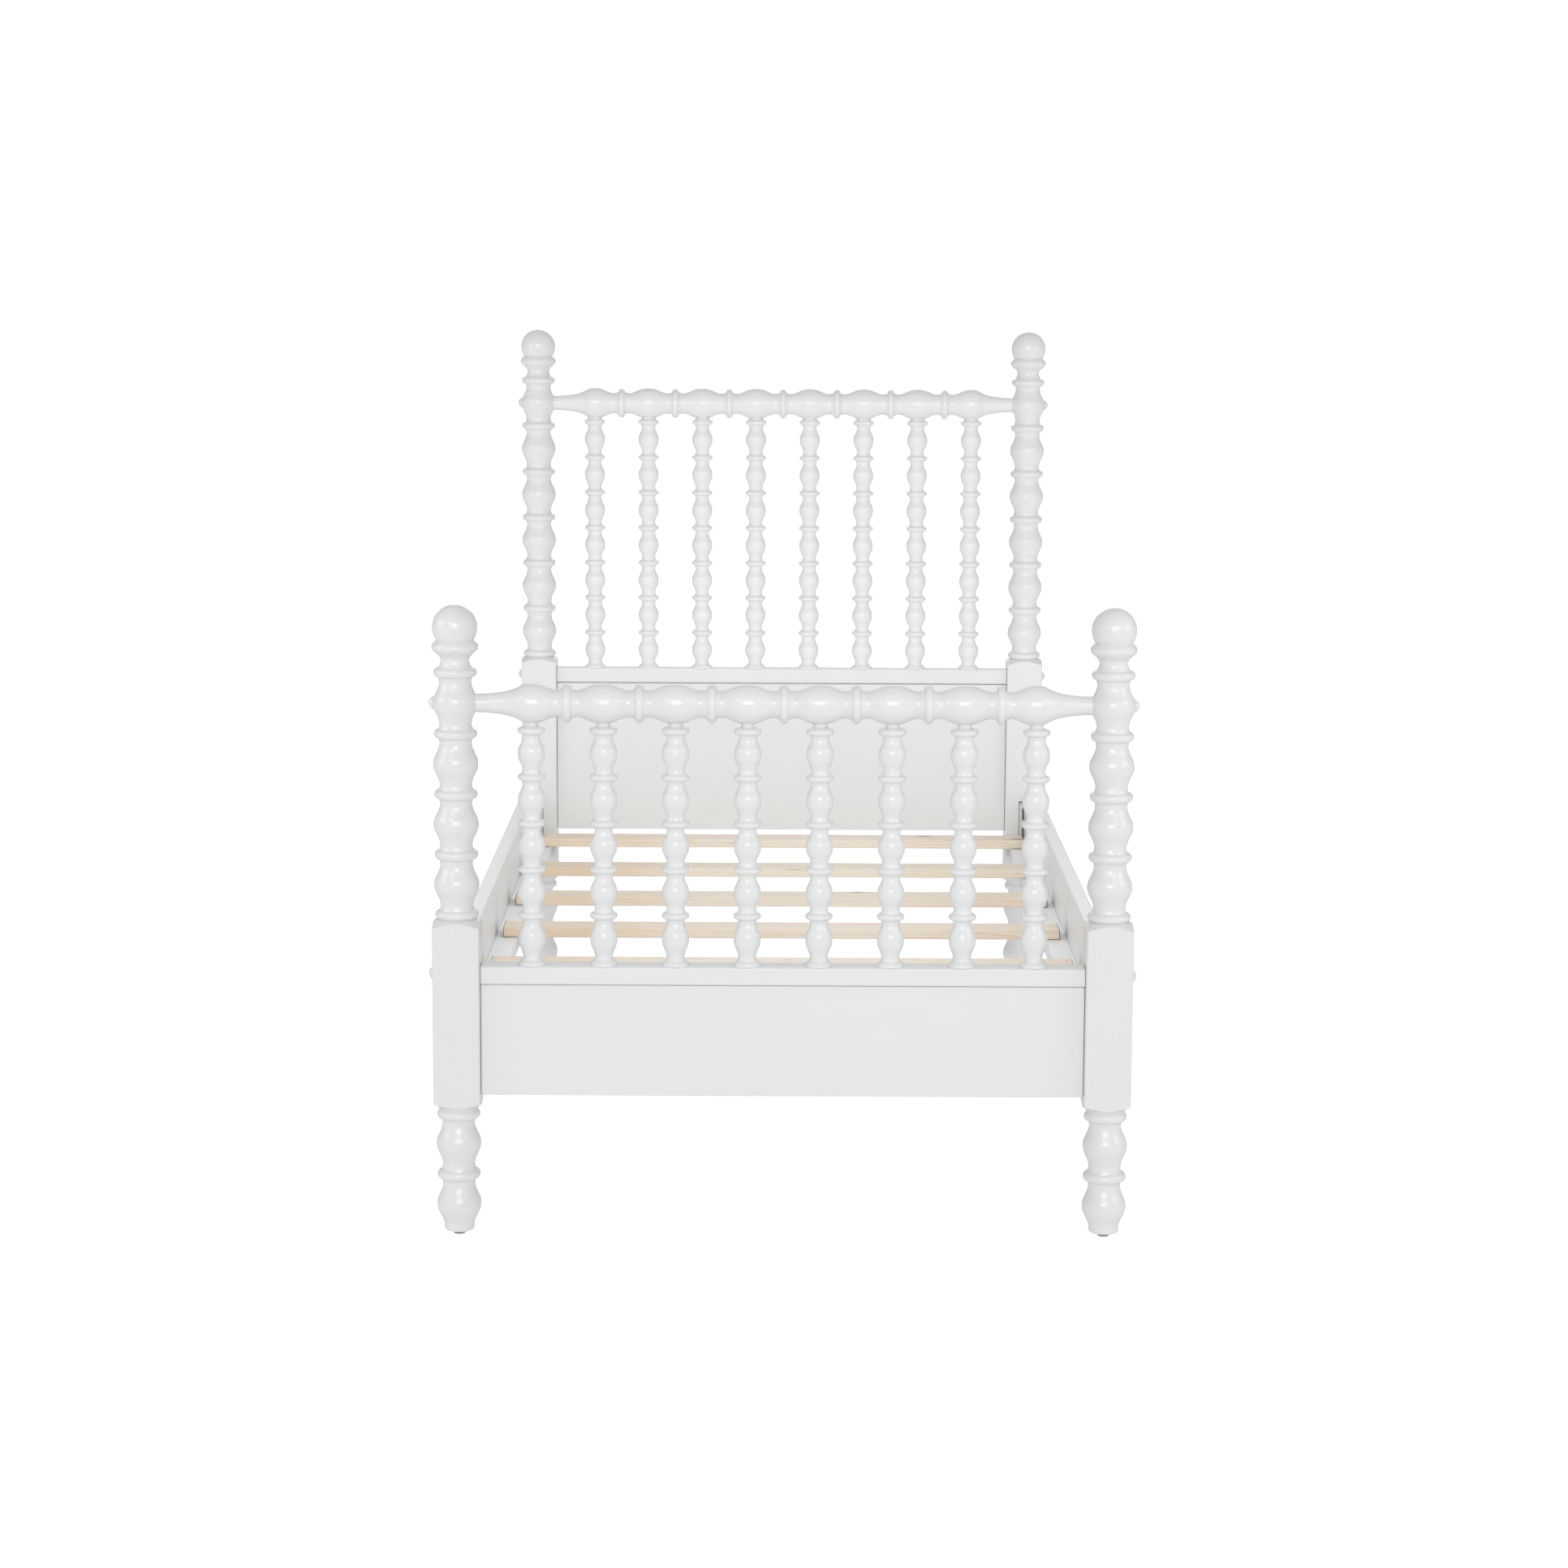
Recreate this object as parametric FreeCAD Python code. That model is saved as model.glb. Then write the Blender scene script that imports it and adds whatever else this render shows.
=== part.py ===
import FreeCAD, Part
import math
import os

V = FreeCAD.Vector
os.makedirs("parts", exist_ok=True)

# ---------------------------------------------------------------------------
# Driving dimensions, millimetres.
# Origin: on the floor, under the middle of the bed. +Y is the head end,
# +X is the right-hand side as seen from the foot, +Z is up.
# ---------------------------------------------------------------------------
POST_X = 500.0            # post axes, left and right of the middle
POST_Y = 995.0            # post axes, foot (-) and head (+)
BLOCK = 36.0              # half width of the square block on a post
BLOCK_EDGE = 3.2          # rounding of the block's upright edges
BLOCK_BOTTOM = 205.4      # middle of the block's lower edge, all posts
FOOT_BLOCK_TOP = 494.0
HEAD_BLOCK_TOP = 664.4

POST_BEAD_R = 33.4
POST_BULB_R = 34.8
POST_NECK_R = 24.9
FOOT_FINIAL_GAP = 47.0    # from the rail's axis up to the bead over it
HEAD_FINIAL_GAP = 45.8

FOOT_RAIL_Z = 830.0       # axis of the turned rail at the foot
HEAD_RAIL_Z = 1188.3
FOOT_CAP = (397.4, 425.6) # bottom and top of the flat rail under the spindles
HEAD_CAP = (615.5, 645.0)
CAP_HALF = 21.0
CAP_END = 463.6           # the flat rails stop just short of the blocks
PANEL_HALF = 16.0
PANEL_END = 463.4
FOOT_PANEL = (223.0, 396.4)
HEAD_PANEL = (308.5, 614.4)

SPINDLE_X = (-385.0, -275.0, -165.0, -55.0, 55.0, 165.0, 275.0, 385.0)
SPINDLE_PERIOD = {-1: 71.4, 1: 72.1}     # bead to bead, foot and head
SPINDLE_BEAD_R = 21.2
SPINDLE_BULB_R = 20.8
SPINDLE_NECK_R = 13.7

RAIL_IN, RAIL_OUT = 512.0, 536.0       # side rail, inner and outer face
RAIL_Z = (222.0, 388.3)
RAIL_END = 958.7                        # half length
CLEAT_IN = 473.0
CLEAT_Z = (260.0, 288.0)
CLEAT_END = 955.0
SLAT_X = 498.0
SLAT_Z = (288.0, 306.0)
SLAT_W = 65.0
SLAT_BACKS = (939.0, 600.0, 288.0, -21.0, -340.0, -612.5, -885.5)

PLUG_R = 10.0
PLUG_OUT = 544.0
BULB_PLUG_OUT = 541.0
BULB_SEAT = 533.0         # flat seat for the plug on a turned bulb
COUNTERBORE_R = 9.0
COUNTERBORE_END = 520.0   # bottom of the counterbore, from the middle

GLIDE_R = 9.0
GLIDE_H = 6.2

# ---------------------------------------------------------------------------
# helpers
# ---------------------------------------------------------------------------


def spline(pts):
    c = Part.BSplineCurve()
    c.interpolate([V(r, 0, z) for r, z in pts])
    return c.toShape()


def line(a, b):
    return Part.makeLine(V(a[0], 0, a[1]), V(b[0], 0, b[1]))


def turned(sections):
    """One solid of revolution about Z. Each section is a list of (radius,
    height) from top to bottom; two points are a straight line, three with the
    word 'arc' in front are an arc, more are a smooth curve."""
    edges = []
    first = None
    last = None
    for s in sections:
        if s[0] == "arc":
            a, m, b = s[1:]
            edges.append(Part.Arc(V(a[0], 0, a[1]), V(m[0], 0, m[1]), V(b[0], 0, b[1])).toShape())
        else:
            a, b = s[0], s[-1]
            edges.append(line(a, b) if len(s) == 2 else spline(s))
        if first is None:
            first = a
        last = b
    if last[0] > 1e-6:
        edges.append(line(last, (0, last[1])))
    edges.append(line((0, last[1]), (0, first[1])))
    if first[0] > 1e-6:
        edges.append(line((0, first[1]), first))
    face = Part.Face(Part.Wire(Part.__sortEdges__(edges)))
    solid = face.revolve(V(0, 0, 0), V(0, 0, 1), 360)
    if solid.ShapeType != "Solid":
        solid = solid.Solids[0]
    if solid.Volume < 0:
        solid.reverse()
    return solid


def cyl_x(r, x0, x1, y, z):
    lo, hi = min(x0, x1), max(x0, x1)
    return Part.makeCylinder(r, hi - lo, V(lo, y, z), V(1, 0, 0))


def cyl_y(r, y0, y1, x, z):
    lo, hi = min(y0, y1), max(y0, y1)
    return Part.makeCylinder(r, hi - lo, V(x, lo, z), V(0, 1, 0))


def cyl_z(r, z0, z1, x, y):
    return Part.makeCylinder(r, z1 - z0, V(x, y, z0))


def box(x0, x1, y0, y1, z0, z1):
    a, b = sorted((x0, x1))
    c, d = sorted((y0, y1))
    return Part.makeBox(b - a, d - c, z1 - z0, V(a, c, z0))


def edges_along(shape, axis):
    out = []
    for e in shape.Edges:
        a, b = e.Vertexes[0].Point, e.Vertexes[-1].Point
        d = b.sub(a)
        if d.Length > 1e-6 and abs(abs(d.dot(axis)) - d.Length) < 1e-6:
            out.append(e)
    return out


def soft_box(x0, x1, y0, y1, z0, z1, r, axis, r_end=0.0):
    """Box with its long edges rounded to r, and its end edges to r_end."""
    b = box(x0, x1, y0, y1, z0, z1)
    b = b.makeFillet(r, edges_along(b, axis))
    if r_end > 0:
        ends = []
        for f in b.Faces:
            n = f.normalAt(0, 0)
            if f.Surface.__class__.__name__ == "Plane" and abs(abs(n.dot(axis)) - 1) < 1e-6:
                ends += f.Edges
        b = b.makeFillet(r_end, ends)
    return b


def screw(head_at, direction, length, r=2.0, head_r=3.9, head_h=2.6, flat_h=0.5):
    """Countersunk wood screw; head_at is the middle of the head's flat top."""
    d = V(*direction)
    pts = [(0, 0), (head_r, 0), (head_r, flat_h), (r, head_h), (r, length - 3 * r), (0.35, length), (0, length)]
    w = Part.makePolygon([V(a, 0, b) for a, b in pts] + [V(0, 0, 0)])
    s = Part.Face(w).revolve(V(0, 0, 0), V(0, 0, 1), 360)
    if s.ShapeType != "Solid":
        s = s.Solids[0]
    if s.Volume < 0:
        s.reverse()
    # cross recess in the head
    x = box(-head_r * 0.55, head_r * 0.55, -0.45, 0.45, -0.1, 1.3).fuse(
        box(-0.45, 0.45, -head_r * 0.55, head_r * 0.55, -0.1, 1.3))
    s = s.cut(x)
    s.Placement = FreeCAD.Placement(V(*head_at), FreeCAD.Rotation(V(0, 0, 1), d)).multiply(s.Placement)
    return s


def screw_hole(head_at, direction, length, r=2.0, head_r=3.9, head_h=2.6, flat_h=0.5):
    """The countersunk hole a screw of that size sits in, a hair larger."""
    d = V(*direction)
    g = 0.08
    pts = [(0, -1.0), (head_r + g, -1.0), (head_r + g, flat_h + g), (r + g, head_h + g), (r + g, length + 0.4),
           (0, length + 0.4)]
    w = Part.makePolygon([V(a, 0, b) for a, b in pts] + [V(0, 0, -1.0)])
    s = Part.Face(w).revolve(V(0, 0, 0), V(0, 0, 1), 360)
    if s.ShapeType != "Solid":
        s = s.Solids[0]
    if s.Volume < 0:
        s.reverse()
    s.Placement = FreeCAD.Placement(V(*head_at), FreeCAD.Rotation(V(0, 0, 1), d)).multiply(s.Placement)
    return s


def save(name, shapes):
    """One node: a single solid, or a group of separate identical solids."""
    if not isinstance(shapes, (list, tuple)):
        shapes = [shapes]
    solids = []
    for s in shapes:
        got = s.Solids
        assert len(got) == 1, (name, len(got))
        solid = got[0]
        if solid.Volume < 0:
            solid.reverse()
        assert solid.isValid(), name
        solids.append(solid)
    out = solids[0] if len(solids) == 1 else Part.makeCompound(solids)
    out.exportStep("parts/%s.step" % name)
    print("%-24s solids %2d  volume %.0f" % (name, len(solids), sum(s.Volume for s in solids)))


# ---------------------------------------------------------------------------
# turned profiles of the posts
# ---------------------------------------------------------------------------
# A bead is the narrow ring between two sharp creases; a bulb is the long
# swelling halfway between two beads. Offsets are from the middle of each.
BEAD_HALF = 7.2            # from the middle of a bead to its crease
CREASE_R = 27.0
BEAD = ((BEAD_HALF, CREASE_R), (6.9, 28.7), (6.2, 30.15), (5.05, 31.5), (3.6, 32.5), (1.85, 33.2), (0.0, POST_BEAD_R))
COVE = ((BEAD_HALF, CREASE_R), (8.5, 26.3), (10.1, 25.65), (12.2, 25.15), (14.6, 24.93), (16.9, 24.93))
BULB = ((28.0, 25.35), (24.0, 26.4), (20.0, 28.0), (16.0, 30.0), (12.0, 32.0),
        (8.0, 33.6), (4.0, 34.5), (0.0, 34.8))


def post_bead(z, up=None, down=None):
    """Bead at height z. up and down replace a half by its own crease."""
    top = [(r, z + d) for d, r in BEAD]
    low = [(r, z - d) for d, r in reversed(BEAD)][1:]
    if up:
        k = up[1] - z
        top = [up] + [(r, z + d * k / BEAD_HALF) for d, r in BEAD[1:] if r > up[0] + 0.3]
    if down:
        k = z - down[1]
        low = [(r, z - d * k / BEAD_HALF) for d, r in reversed(BEAD[1:]) if r > down[0] + 0.3][1:] + [down]
    return top + low


def post_bulb(z_up, z, z_low, r_bulb=POST_BULB_R):
    """From the crease under the bead at z_up, over the bulb at z, to the
    crease over the bead at z_low."""
    a = (z_up - z) / 46.7
    b = (z - z_low) / 46.7
    k = (r_bulb - POST_NECK_R) / (34.8 - 24.9)
    pts = []
    for d, r in COVE:
        pts.append((r, z_up - d * (1 if d <= BEAD_HALF else a)))
    for d, r in BULB:
        pts.append((POST_NECK_R + (r - 24.9) * k, z + d * a))
    for d, r in reversed(BULB[:-1]):
        pts.append((POST_NECK_R + (r - 24.9) * k, z - d * b))
    for d, r in reversed(COVE):
        pts.append((r, z_low + d * (1 if d <= BEAD_HALF else b)))
    return pts


def finial(b0):
    """Ball, ring and neck that crown a post, down to the crease over the
    bead at b0."""
    c = b0 + 68.4
    r = 34.6
    low = -19.2
    rl = math.sqrt(r * r - low * low)
    ball = ["arc", (0, c + r), (r * math.cos(math.radians(30)), c + r * math.sin(math.radians(30))), (rl, c + low)]
    ring = [(rl, b0 + 49.2), (31.7, b0 + 46.6), (34.2, b0 + 43.6), (35.6, b0 + 40.9), (36.0, b0 + 38.5),
            (35.4, b0 + 36.0), (33.3, b0 + 32.9), (30.1, b0 + 29.8), (26.6, b0 + 26.8), (23.9, b0 + 24.1),
            (22.5, b0 + 21.2), (22.2, b0 + 18.0), (22.6, b0 + 14.4), (23.9, b0 + 11.1), (CREASE_R - 0.9, b0 + BEAD_HALF)]
    return [ball, ring]


def post_profile(rail_z, block_top, n_bulbs, finial_gap):
    """All the sections of one post from the top down to the floor end."""
    b0 = rail_z + finial_gap
    b1 = rail_z - 46.8
    z = b0
    s = finial(b0)
    s.append(post_bead(b0, up=(CREASE_R - 0.9, b0 + BEAD_HALF)))
    s.append(post_bulb(b0, rail_z, b1))
    last_bead = block_top + 9.5
    step = (b1 - last_bead) / n_bulbs
    z = b1
    for i in range(n_bulbs):
        s.append(post_bead(z))
        s.append(post_bulb(z, z - step / 2.0, z - step))
        z -= step
    # the lowest bead of the upper turning ends in the pinch over the block
    s.append(post_bead(z, down=(29.4, z - 6.3)))
    s.append([(29.4, z - 6.3), (32.5, z - 7.6), (BLOCK, block_top), (42.0, block_top - 3.3), (50.6, block_top - 7.2)])
    s.append([(50.6, block_top - 7.2), (50.6, BLOCK_BOTTOM + 6.6)])
    zb = 190.6
    s.append([(50.6, BLOCK_BOTTOM + 6.6), (42.0, BLOCK_BOTTOM + 3.1), (BLOCK, BLOCK_BOTTOM), (32.2, BLOCK_BOTTOM - 3.0),
              (29.2, zb + 6.9)])
    # leg
    s.append(post_bead(zb, up=(29.2, zb + 6.9)))
    s.append(post_bulb(zb, 144.5, 95.3, 34.5))
    s.append(post_bead(95.3))
    s.append([(CREASE_R, 95.3 - BEAD_HALF), (26.3, 86.8), (25.65, 85.2), (25.1, 83.1), (24.9, 80.4), (25.3, 76.4), (26.7, 71.6),
              (29.2, 65.6), (32.6, 57.8), (33.8, 53.4), (34.2, 49.0), (33.7, 43.4), (32.0, 37.2), (29.3, 31.2),
              (26.3, 25.6), (24.5, 21.4), (23.6, 17.6), (23.3, 13.9), (23.3, GLIDE_H + 4.1)])
    s.append(["arc", (23.3, GLIDE_H + 4.1), (22.1, GLIDE_H + 1.2), (19.2, GLIDE_H)])
    return s


def block_trim(block_top):
    """What lies outside the square block, as one ring-shaped cutter."""
    z0, z1 = BLOCK_BOTTOM - 9.0, block_top + 6.0
    b = Part.makeBox(2 * BLOCK, 2 * BLOCK, z1 - z0, V(-BLOCK, -BLOCK, z0))
    b = b.makeFillet(BLOCK_EDGE, edges_along(b, V(0, 0, 1)))
    return cyl_z(70.0, z0, z1, 0, 0).cut(b)


FOOT_POST = turned(post_profile(FOOT_RAIL_Z, FOOT_BLOCK_TOP, 3, FOOT_FINIAL_GAP)).cut(block_trim(FOOT_BLOCK_TOP))
HEAD_POST = turned(post_profile(HEAD_RAIL_Z, HEAD_BLOCK_TOP, 5, HEAD_FINIAL_GAP)).cut(block_trim(HEAD_BLOCK_TOP))

# ---------------------------------------------------------------------------
# corner hardware, described once and mirrored to the four corners.
# sx is the side of the bed, sy the end; "out" is the distance from the middle.
# ---------------------------------------------------------------------------
PLATE_X = (492.0, 511.0)
PLATE_Y = (959.0, 961.5)
PLATE_Z = (284.0, 374.0)
WINDOW_X = (498.8, 503.0)
WINDOW_Z = ((297.0, 320.0), (335.0, 361.0))
HOOK_X = (503.0, 505.4)
BRACKET_Z = (290.0, 368.0)


def corner_box(sx, sy, x, y, z):
    return box(sx * x[0], sx * x[1], sy * y[0], sy * y[1], z[0], z[1])


def post_plate(sx, sy):
    p = corner_box(sx, sy, PLATE_X, PLATE_Y, PLATE_Z)
    for z0, z1 in WINDOW_Z:
        p = p.cut(corner_box(sx, sy, (HOOK_X[0] - 0.5, HOOK_X[1] + 0.5), (958, 963), (z0 - 1.0, z1 + 1.0)))
    for z in (290.0, 368.0):
        p = p.cut(screw_hole((sx * 497.0, sy * PLATE_Y[0], z), (0, sy, 0), 18.0, 1.8, 3.4, 2.0, 0.3))
    return p


def post_plate_pocket(sx, sy):
    g = 0.1
    p = corner_box(sx, sy, (PLATE_X[0] - g, PLATE_X[1] + g), (957.0, PLATE_Y[1] + g), (PLATE_Z[0] - g, PLATE_Z[1] + g))
    for z0, z1 in WINDOW_Z:
        p = p.fuse(corner_box(sx, sy, (HOOK_X[0] - 1.5, HOOK_X[1] + 1.5), (960.0, 969.5), (z0 - 3.0, z1 + 3.0)))
    for z in (290.0, 368.0):
        p = p.fuse(screw_hole((sx * 497.0, sy * PLATE_Y[0], z), (0, sy, 0), 18.0, 1.8, 3.4, 2.0, 0.3))
    return p


BRACKET_SCREWS = ((922.0, 306.0), (922.0, 352.0), (942.0, 329.0))


def rail_bracket(sx, sy):
    """Stamped angle on the rail, with two hooks pressed out of the leg that
    lies against the post; each leaves an upright window."""
    leg_a = corner_box(sx, sy, (509.5, RAIL_IN), (908.0, 958.8), BRACKET_Z)
    leg_b = corner_box(sx, sy, (493.0, 509.5), (956.3, 958.8), BRACKET_Z)
    b = leg_a.fuse(leg_b)
    for z0, z1 in WINDOW_Z:
        b = b.cut(corner_box(sx, sy, WINDOW_X, (955.0, 960.0), (z0, z1)))
        neck = corner_box(sx, sy, HOOK_X, (957.0, 966.6), (z0 + 6.5, z1 - 1.0))
        nose = corner_box(sx, sy, HOOK_X, (962.2, 966.6), (z0 - 0.5, z1 - 1.0))
        b = b.fuse(neck).fuse(nose)
    for y, z in BRACKET_SCREWS:
        b = b.cut(screw_hole((sx * 509.5, sy * y, z), (sx, 0, 0), 18.0, 1.9, 3.6, 2.2, 0.3))
    return b.removeSplitter()


def bracket_screw_set(sx, sy, f):
    return [f((sx * 509.5, sy * y, z), (sx, 0, 0), 18.0, 1.9, 3.6, 2.2, 0.3) for y, z in BRACKET_SCREWS]


# ---------------------------------------------------------------------------
# posts with their bores
# ---------------------------------------------------------------------------
RAIL_END_R = 14.5          # end of a turned rail, let into the post
RAIL_SEAT = 475.8          # where the turned rail ends inside the post
PANEL_DOWELS = {-1: (262.0, 352.0), 1: (352.0, 462.0, 572.0)}
DOWEL_R = 4.0


def make_post(sx, sy):
    foot = sy < 0
    body = (FOOT_POST if foot else HEAD_POST).copy()
    body.translate(V(sx * POST_X, sy * POST_Y, 0))
    y = sy * POST_Y
    rail_z = FOOT_RAIL_Z if foot else HEAD_RAIL_Z
    cap = FOOT_CAP if foot else HEAD_CAP
    cap_z = (cap[0] + cap[1]) / 2.0
    cuts = [
        # socket for the turned rail, bolt hole, counterbore and plug seat
        cyl_x(RAIL_END_R + 0.1, sx * 455.0, sx * (RAIL_SEAT + 0.3), y, rail_z),
        cyl_x(4.3, sx * 470.0, sx * 530.0, y, rail_z),
        cyl_x(COUNTERBORE_R, sx * COUNTERBORE_END, sx * 545.0, y, rail_z),
        cyl_x(PLUG_R + 0.3, sx * BULB_SEAT, sx * 545.0, y, rail_z),
        # the same bolt for the flat rail, through the block
        cyl_x(4.3, sx * 455.0, sx * 530.0, y, cap_z),
        cyl_x(COUNTERBORE_R, sx * COUNTERBORE_END, sx * 545.0, y, cap_z),
        # hook plate
        post_plate_pocket(sx, sy),
        # nail of the glide
        cyl_z(1.3, 0.0, 24.0, sx * POST_X, y),
    ]
    for z in PANEL_DOWELS[sy]:
        cuts.append(cyl_x(DOWEL_R + 0.05, sx * 455.0, sx * 483.0, y, z))
    tool = cuts[0].multiFuse(cuts[1:])
    return body.cut(tool)


# ---------------------------------------------------------------------------
# turned rails
# ---------------------------------------------------------------------------
TR_BEAD = ((0.0, 29.8), (1.7, 29.6), (3.3, 28.95), (4.8, 27.7), (6.0, 25.9), (6.9, 23.4))
TR_COVE = ((6.9, 23.4), (8.8, 22.35), (11.2, 21.5), (14.0, 21.02), (17.0, 20.9))
TR_BULB = ((35.6, 21.15), (31.8, 22.2), (27.8, 23.7), (23.8, 25.5), (19.8, 27.35), (15.4, 28.95),
           (11.0, 30.05), (5.6, 30.8), (0.0, 31.0))
TR_TAIL = ((0.0, 31.0), (5.6, 30.8), (10.0, 30.0), (13.6, 28.5), (17.4, 26.4), (21.2, 24.3), (25.2, 22.6),
           (29.0, 21.2), (33.0, 19.9), (37.4, 18.8), (42.0, 17.9), (48.0, 17.0), (55.0, 16.1), (63.0, 15.4),
           (71.0, 14.8), (80.5, RAIL_END_R))


def rail_profile(bulb_r):
    """Sections of a turned rail from its right end (as 'up') to its left."""
    k = (bulb_r - 20.9) / (31.0 - 20.9)

    def f(r):
        return 20.9 + (r - 20.9) * k if r > 20.9 else r

    beads = [330.0, 220.0, 110.0, 0.0, -110.0, -220.0, -330.0]
    s = [[(RAIL_END_R, RAIL_SEAT), (RAIL_END_R, 465.5)]]
    tail = [(f(r), 385.0 + d) for d, r in reversed(TR_TAIL)]
    down = [(f(r), 385.0 - d) for d, r in reversed(TR_BULB[:-1])]
    cove = [(r, 330.0 + d) for d, r in reversed(TR_COVE)]
    s.append(tail + down + cove)
    for i, b in enumerate(beads):
        s.append([(r, b + d) for d, r in reversed(TR_BEAD)] + [(r, b - d) for d, r in TR_BEAD[1:]])
        if i < len(beads) - 1:
            m = b - 55.0
            s.append([(r, b - d) for d, r in TR_COVE] + [(f(r), m + d) for d, r in TR_BULB]
                     + [(f(r), m - d) for d, r in reversed(TR_BULB[:-1])]
                     + [(r, b - 110.0 + d) for d, r in reversed(TR_COVE)])
    s.append([(r, -h) for r, h in reversed(cove)] + [(r, -h) for r, h in reversed(down)]
             + [(r, -h) for r, h in reversed(tail)])
    s.append([(RAIL_END_R, -465.5), (RAIL_END_R, -RAIL_SEAT)])
    return s


INSERT_R = 7.0
TENON_R = {-1: 7.5, 1: 8.5}
TENON_TOP = {-1: FOOT_RAIL_Z - 13.0, 1: HEAD_RAIL_Z - 13.0}
NECK_R = {-1: 10.4, 1: 13.9}              # top end of a spindle
NECK_TOP = {-1: FOOT_RAIL_Z - 28.0, 1: HEAD_RAIL_Z - 27.2}
CAP_TENON = 20.0                          # depth of a spindle's foot in the flat rail


def make_top_rail(sy):
    z = FOOT_RAIL_Z if sy < 0 else HEAD_RAIL_Z
    body = turned(rail_profile(30.6 if sy < 0 else 31.0))
    body.rotate(V(0, 0, 0), V(0, 1, 0), 90)
    body.translate(V(0, sy * POST_Y, z))
    cuts = []
    for x in SPINDLE_X:
        cuts.append(cyl_z(NECK_R[sy] + 0.15, z - 50.0, NECK_TOP[sy] + 0.2, x, sy * POST_Y))
        if sy > 0:
            cuts.append(cyl_z(16.6, z - 50.0, z - 27.8, x, sy * POST_Y))
        cuts.append(cyl_z(TENON_R[sy] + 0.08, z - 50.0, TENON_TOP[sy] + 1.5, x, sy * POST_Y))
    for sx in (-1, 1):
        cuts.append(cyl_x(4.3, sx * 444.0, sx * 480.0, sy * POST_Y, z))
        cuts.append(cyl_x(INSERT_R + 0.1, sx * 448.0, sx * 480.0, sy * POST_Y, z))
    return body.cut(cuts[0].multiFuse(cuts[1:]))


def make_cap(sy):
    z0, z1 = FOOT_CAP if sy < 0 else HEAD_CAP
    y = sy * POST_Y
    b = soft_box(-CAP_END, CAP_END, y - CAP_HALF, y + CAP_HALF, z0, z1, 3.5, V(1, 0, 0), 0.8)
    cuts = []
    for x in SPINDLE_X:
        cuts.append(cyl_z(TENON_R[sy] + 0.08, z1 - CAP_TENON - 1.0, z1 + 5.0, x, y))
    for sx in (-1, 1):
        zc = (z0 + z1) / 2.0
        cuts.append(cyl_x(4.3, sx * 440.0, sx * 480.0, y, zc))
        cuts.append(cyl_x(INSERT_R + 0.1, sx * 444.0, sx * 480.0, y, zc))
    return b.cut(cuts[0].multiFuse(cuts[1:]))


def make_panel(sy):
    z0, z1 = FOOT_PANEL if sy < 0 else HEAD_PANEL
    y = sy * POST_Y
    b = soft_box(-PANEL_END, PANEL_END, y - PANEL_HALF, y + PANEL_HALF, z0, z1, 1.6, V(1, 0, 0), 0.8)
    cuts = []
    for sx in (-1, 1):
        for z in PANEL_DOWELS[sy]:
            cuts.append(cyl_x(DOWEL_R + 0.05, sx * 444.0, sx * 470.0, y, z))
    return b.cut(cuts[0].multiFuse(cuts[1:]))


# ---------------------------------------------------------------------------
# spindles
# ---------------------------------------------------------------------------
SP_BEAD = ((0.0, 21.2), (1.5, 20.95), (2.9, 20.2), (4.1, 18.95), (5.0, 17.3), (5.4, 15.7))
SP_COVE = ((5.4, 15.7), (7.1, 14.8), (9.0, 14.15), (11.4, 13.74))
SP_BULB = ((24.4, 13.72), (21.4, 14.2), (18.4, 15.1), (15.6, 16.3), (12.8, 17.75), (9.8, 19.25), (6.6, 20.25),
           (3.2, 20.75), (0.0, 20.85))


def spindle_profile(sy):
    """Sections of a spindle from its upper tenon down to its lower tenon."""
    head = sy > 0
    collar = 1150.2 if head else 788.4
    period = SPINDLE_PERIOD[sy]
    n = 6 if head else 4
    cap_top = (HEAD_CAP if head else FOOT_CAP)[1]
    nr = NECK_R[sy]
    tr = TENON_R[sy]
    s = [[(tr, TENON_TOP[sy]), (tr, NECK_TOP[sy])], [(tr, NECK_TOP[sy]), (nr, NECK_TOP[sy])]]
    if head:
        s.append([(nr, NECK_TOP[sy]), (nr, collar + 9.4)])
        s.append([(nr, collar + 9.4), (14.3, collar + 8.0), (14.9, collar + 6.7), (15.7, collar + 5.4)])
    else:
        s.append([(nr, NECK_TOP[sy]), (nr, collar + 8.6)])
        s.append([(nr, collar + 8.6), (11.2, collar + 7.2), (12.9, collar + 6.2), (15.7, collar + 5.4)])
    b = collar
    for i in range(n + 1):
        s.append([(r, b + d) for d, r in reversed(SP_BEAD)] + [(r, b - d) for d, r in SP_BEAD[1:]])
        if i < n:
            m = b - period / 2.0
            s.append([(r, b - d) for d, r in SP_COVE] + [(r, m + d) for d, r in SP_BULB[1:]]
                     + [(r, m - d) for d, r in reversed(SP_BULB[1:-1])]
                     + [(r, b - period + d) for d, r in reversed(SP_COVE)])
            b -= period
    # last bulb, then the half bead that stands on the flat rail
    m = b - period / 2.0
    up = [(r, b - d) for d, r in SP_COVE] + [(r, m + d) for d, r in SP_BULB[1:]]
    neck = cap_top + 12.6
    k = (m - neck) / 24.4
    low = [(r, m - d * k) for d, r in reversed(SP_BULB[1:-1])]
    base = [(13.72, neck), (14.3, cap_top + 10.2), (15.3, cap_top + 8.4), (16.6, cap_top + 7.0)]
    s.append(up + low + base)
    s.append([(16.6, cap_top + 7.0), (19.0, cap_top + 5.2), (20.6, cap_top + 3.2), (21.3, cap_top + 1.3),
              (21.3, cap_top)])
    s.append([(21.3, cap_top), (tr, cap_top)])
    s.append([(tr, cap_top), (tr, cap_top - CAP_TENON)])
    return s


SPINDLES = {sy: turned(spindle_profile(sy)) for sy in (-1, 1)}

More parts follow.
